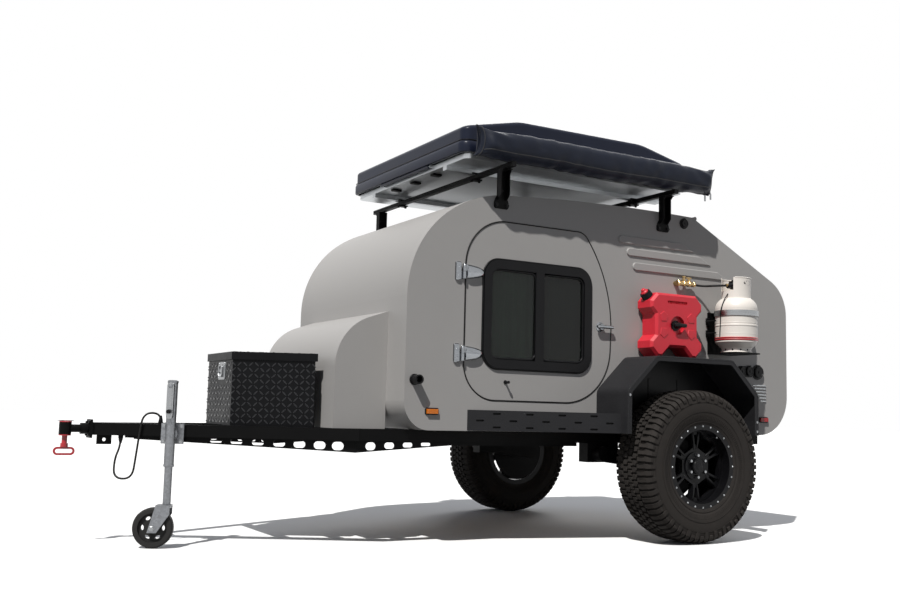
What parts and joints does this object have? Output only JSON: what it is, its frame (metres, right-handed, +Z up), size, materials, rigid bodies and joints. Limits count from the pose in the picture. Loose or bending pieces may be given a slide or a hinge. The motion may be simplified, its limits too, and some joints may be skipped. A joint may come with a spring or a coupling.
{
  "type": "teardrop camping trailer",
  "caption": "Off-road teardrop camping trailer with side doors, rear hatch, tongue toolbox, jack, roof tent, awning bag, fuel can and gas cylinder.",
  "frame": {"origin": "on the ground under the middle of the trailer's box", "axes": "+X forward to the coupler, +Y to the trailer's left, +Z up"},
  "size_m": [4.259, 2.124, 2.2897],
  "materials": {
    "grey_paint": "fine textured warm grey paint",
    "black_coat": "black textured coat",
    "frame_black": "satin black powder coat",
    "tread_plate": "black diamond plate",
    "zinc": "zinc plated",
    "tyre_rubber": "matt",
    "rim_black": "satin black",
    "caster_rubber": "matt",
    "tinted_glass": "dark tint",
    "window_black": "black",
    "chrome": "polished",
    "brass": "machined",
    "red_can": "moulded red",
    "black_plastic": "moulded black",
    "white_enamel": "white enamel",
    "red_paint": "red enamel",
    "hose_rubber": "matt",
    "curtain_cloth": "dark green cloth",
    "mattress_cloth": "woven cloth",
    "tent_black": "satin black shell",
    "tent_aluminium": "mill sheet",
    "awning_cloth": "coated black cloth",
    "birch": "clear coated plywood",
    "amber_lens": "amber lens",
    "red_lens": "red lens"
  },
  "bodies": {
    "chassis": {"main_rails": "frame_black", "crossmembers": "frame_black", "tongue_rails": "frame_black", "truss_plates": "frame_black", "coupler_housing": "frame_black", "half_axles": "frame_black", "jack_mount": "zinc", "side_left": "grey_paint", "side_right": "grey_paint", "roof_skin": "grey_paint", "cabin_floor": "birch", "rear_apron": "grey_paint", "bulkhead": "birch", "hatch_pin": "zinc", "nose_box": "grey_paint", "mattress": "mattress_cloth", "hinge_leaves": "chrome", "fenders": "black_coat", "side_steps": "black_coat", "toolbox": "tread_plate", "roof_rack": "frame_black", "tent_base": "tent_aluminium", "tent_bedding": "mattress_cloth", "awning_bag": "awning_cloth", "fuel_can": "red_can", "can_fittings": "black_plastic", "gas_cylinder": "white_enamel", "gas_bracket": "frame_black", "gas_fittings": "brass", "gas_hose": "hose_rubber", "amber_lamps": "amber_lens", "red_lamps": "red_lens", "side_ports": "black_plastic", "tow_cable": "hose_rubber"},
    "wheel_left": {"tyre_left": "tyre_rubber", "rim_left": "rim_black"},
    "wheel_right": {"tyre_right": "tyre_rubber", "rim_right": "rim_black"},
    "door_left_body": {"door_left": "grey_paint", "window_frame_left": "window_black", "window_glass_left": "tinted_glass", "curtain_left": "curtain_cloth", "door_fittings_left": "chrome"},
    "door_right_body": {"door_right": "grey_paint", "window_frame_right": "window_black", "window_glass_right": "tinted_glass", "curtain_right": "curtain_cloth", "door_fittings_right": "chrome"},
    "hatch_body": {"hatch": "grey_paint"},
    "toolbox_lid_body": {"toolbox_lid": "tread_plate"},
    "tent_lid": {"tent_shell": "tent_black"},
    "jack": {"jack_tube": "zinc"},
    "jack_foot": {"jack_leg": "zinc"},
    "caster": {"caster_fork": "zinc"},
    "caster_roller": {"caster_wheel": "caster_rubber"},
    "coupler": {"coupler_head": "frame_black", "hitch_pin": "red_paint"}
  },
  "joints": [
    {"name": "left_wheel_spin", "type": "hinge", "parent": "chassis", "child": "wheel_left", "pos_m": [-1.0905, 0.92, 0.419], "axis": [0, 1, 0], "continuous": true},
    {"name": "right_wheel_spin", "type": "hinge", "parent": "chassis", "child": "wheel_right", "pos_m": [-1.0905, -0.92, 0.419], "axis": [0, 1, 0], "continuous": true},
    {"name": "left_door_swing", "type": "hinge", "parent": "chassis", "child": "door_left_body", "pos_m": [0.2805, 0.734, 1.2], "axis": [0, 0, -1], "range_deg": [0, 110]},
    {"name": "right_door_swing", "type": "hinge", "parent": "chassis", "child": "door_right_body", "pos_m": [0.2805, -0.734, 1.2], "axis": [0, 0, 1], "range_deg": [0, 110]},
    {"name": "hatch_lift", "type": "hinge", "parent": "chassis", "child": "hatch_body", "pos_m": [-1.34118, 0, 1.88317], "axis": [0, 1, 0], "range_deg": [0, 75]},
    {"name": "toolbox_lid_lift", "type": "hinge", "parent": "chassis", "child": "toolbox_lid_body", "pos_m": [0.9255, 0, 0.9545], "axis": [0, -1, 0], "range_deg": [0, 95]},
    {"name": "tent_lift", "type": "hinge", "parent": "chassis", "child": "tent_lid", "pos_m": [0.2735, 0, 2.057], "axis": [0, 1, 0], "range_deg": [0, 35]},
    {"name": "jack_swing", "type": "hinge", "parent": "chassis", "child": "jack", "pos_m": [1.63555, 0.25704, 0.545], "axis": [0.444, 0.8961, 0], "range_deg": [0, 90]},
    {"name": "jack_extend", "type": "slide", "parent": "jack", "child": "jack_foot", "axis": [0, 0, -1], "range_m": [-0.14, 0.1]},
    {"name": "caster_swivel", "type": "hinge", "parent": "jack_foot", "child": "caster", "pos_m": [1.63555, 0.25704, 0.2], "axis": [0, 0, 1], "continuous": true},
    {"name": "caster_roll", "type": "hinge", "parent": "caster", "child": "caster_roller", "pos_m": [1.68752, 0.23129, 0.096], "axis": [0.444, 0.8961, 0], "continuous": true},
    {"name": "coupler_roll", "type": "hinge", "parent": "chassis", "child": "coupler", "pos_m": [2.0095, 0, 0.559], "axis": [1, 0, 0], "continuous": true}
  ]
}
